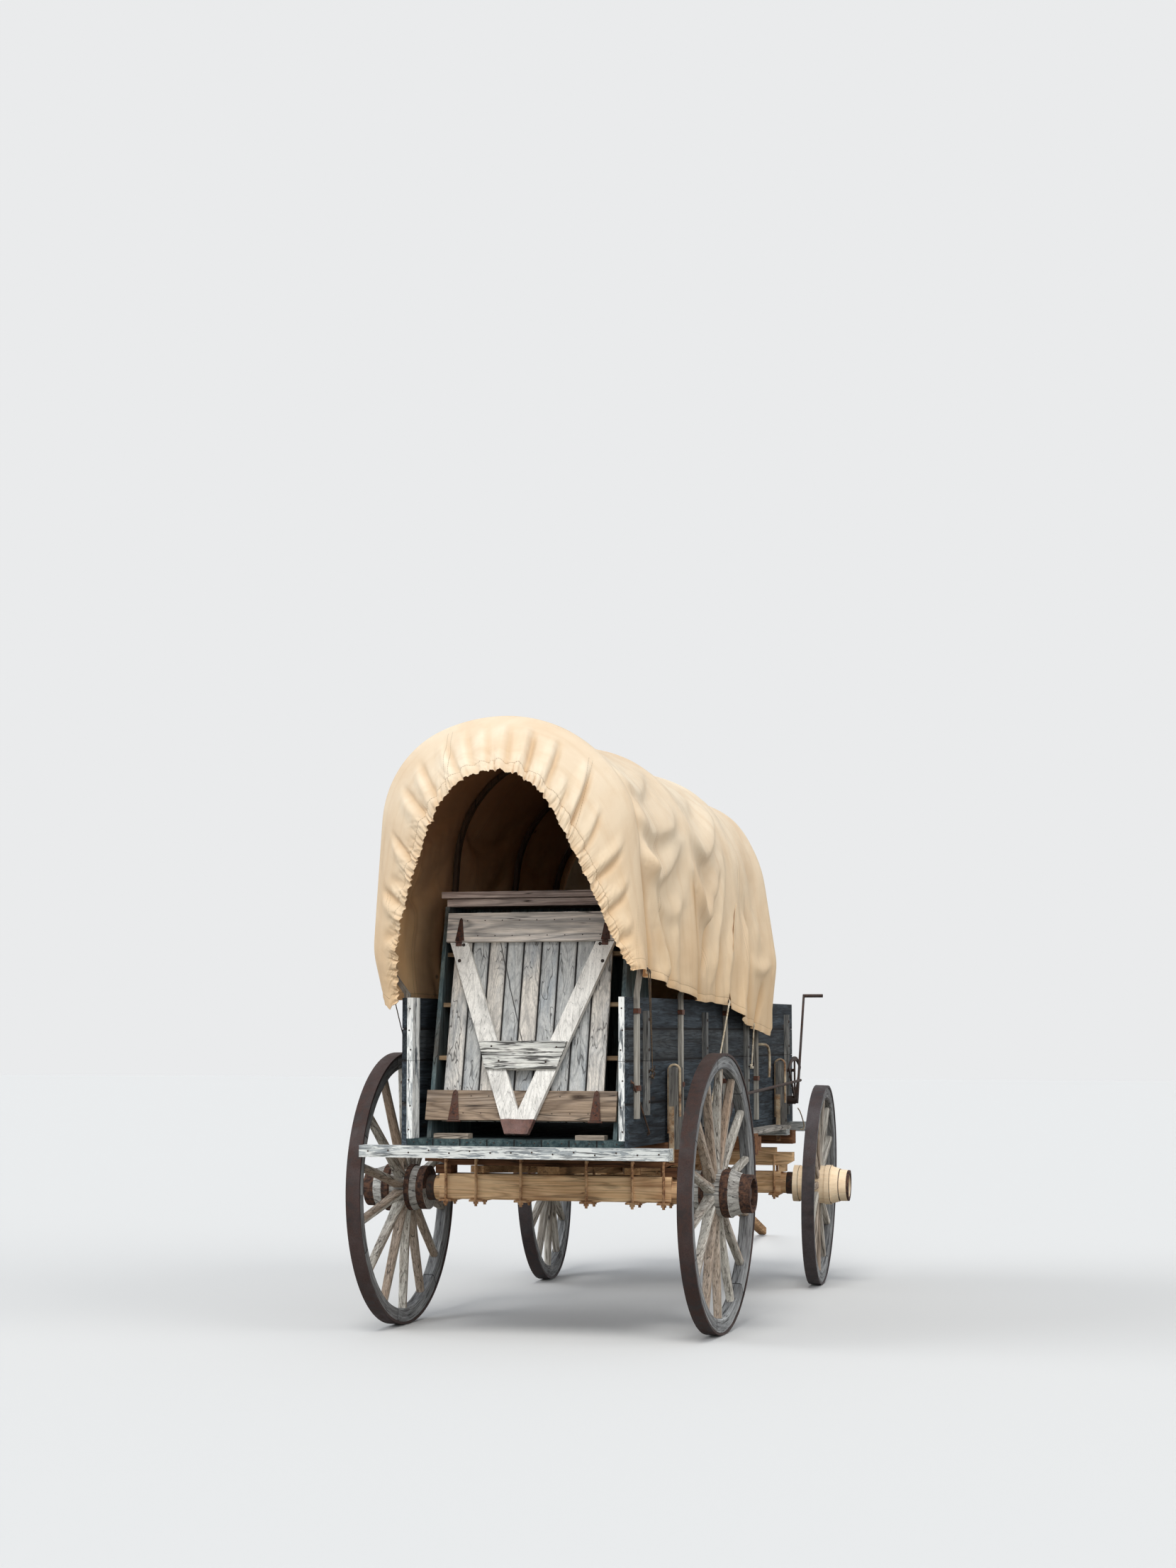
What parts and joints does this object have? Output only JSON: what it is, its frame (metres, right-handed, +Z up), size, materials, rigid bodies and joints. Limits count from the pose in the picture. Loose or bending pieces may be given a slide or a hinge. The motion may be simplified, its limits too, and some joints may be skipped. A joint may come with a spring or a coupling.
{
  "type": "covered wagon",
  "caption": "Farm wagon with wooden spoked wheels, a canvas cover on bent bows and a cook's cupboard with a drop lid at its tail.",
  "frame": {"origin": "middle of the whole wagon with its tongue, on the ground", "axes": "+X to the wagon's right, +Y forward, +Z up"},
  "size_m": [1.9526, 6.7332, 2.904],
  "materials": {
    "box_boards": "old blue-grey paint, weathered",
    "pale_wood": "bare, bleached grey",
    "gear_wood": "buff paint, worn",
    "wheel_wood": "buff and grey paint, worn",
    "hub_wood": "weathered",
    "bow_wood": "bare, weathered",
    "canvas": "unbleached cotton canvas, stained",
    "iron": "rusty"
  },
  "bodies": {
    "wagon": {"floor_boards": "box_boards", "cross_sills": "pale_wood", "step_board": "pale_wood", "side_lower_left": "box_boards", "side_lower_right": "box_boards", "side_upper_left": "box_boards", "side_upper_right": "box_boards", "side_cleats": "box_boards", "rear_posts": "pale_wood", "front_gate": "box_boards", "bows": "bow_wood", "bow_staples": "iron", "cover": "canvas", "cupboard": "box_boards", "cupboard_shelves": "box_boards", "cupboard_top": "box_boards", "rear_axle": "gear_wood", "rear_skeins": "iron", "rear_irons": "iron", "rear_bolster": "gear_wood", "rear_hounds": "gear_wood", "reach": "gear_wood", "front_bolster": "gear_wood", "king_pin": "iron", "stakes": "gear_wood", "stake_irons": "iron", "brake_beam": "pale_wood", "brake_blocks": "pale_wood", "brake_ratchet": "iron", "brake_lever": "iron", "brake_rod": "iron"},
    "rear_right_wheel": {"rear_right_tyre": "iron", "rear_right_felloe": "wheel_wood", "rear_right_spokes": "wheel_wood", "rear_right_hub": "hub_wood"},
    "rear_left_wheel": {"rear_left_tyre": "iron", "rear_left_felloe": "wheel_wood", "rear_left_spokes": "wheel_wood", "rear_left_hub": "hub_wood"},
    "front_right_wheel": {"front_right_tyre": "iron", "front_right_felloe": "wheel_wood", "front_right_spokes": "wheel_wood", "front_right_hub": "hub_wood"},
    "front_left_wheel": {"front_left_tyre": "iron", "front_left_felloe": "wheel_wood", "front_left_spokes": "wheel_wood", "front_left_hub": "hub_wood"},
    "front_gear": {"front_axle": "gear_wood", "front_skeins": "iron", "front_irons": "iron", "sand_board": "gear_wood", "front_hounds": "gear_wood"},
    "tongue": {"tongue": "gear_wood"},
    "lid": {"lid_boards": "box_boards", "lid_battens": "box_boards", "lid_hinges": "iron"},
    "leg": {"leg": "pale_wood", "leg_irons": "iron"}
  },
  "joints": [
    {"name": "rear_right_wheel_turn", "type": "hinge", "parent": "wagon", "child": "rear_right_wheel", "pos_m": [0.8, -2.39856, 0.66078], "axis": [1, 0, -0.0087], "continuous": true},
    {"name": "rear_left_wheel_turn", "type": "hinge", "parent": "wagon", "child": "rear_left_wheel", "pos_m": [-0.8, -2.39856, 0.66078], "axis": [-1, 0, -0.0087], "continuous": true},
    {"name": "front_right_wheel_turn", "type": "hinge", "parent": "front_gear", "child": "front_right_wheel", "pos_m": [0.79742, 0.0696, 0.55984], "axis": [0.9962, 0.0802, -0.0332], "continuous": true},
    {"name": "front_left_wheel_turn", "type": "hinge", "parent": "front_gear", "child": "front_left_wheel", "pos_m": [-0.79742, -0.05872, 0.55984], "axis": [-0.9962, -0.0802, -0.0332], "continuous": true},
    {"name": "steering", "type": "hinge", "parent": "wagon", "child": "front_gear", "pos_m": [0, 0.00544, 0.64], "axis": [0, 0, 1], "range_deg": [-15.8, 16.2]},
    {"name": "tongue_lift", "type": "hinge", "parent": "front_gear", "child": "tongue", "pos_m": [-0.03032, 0.38222, 0.648], "axis": [0.9968, 0.0802, 0], "range_deg": [0, 40]},
    {"name": "lid_drop", "type": "hinge", "parent": "wagon", "child": "lid", "pos_m": [0, -3.00056, 1.01], "axis": [1, 0, 0], "range_deg": [0, 107.8]},
    {"name": "leg_swing", "type": "hinge", "parent": "lid", "child": "leg", "pos_m": [0, -2.82166, 1.84902], "axis": [1, 0, 0], "range_deg": [-93.2, 0]}
  ]
}
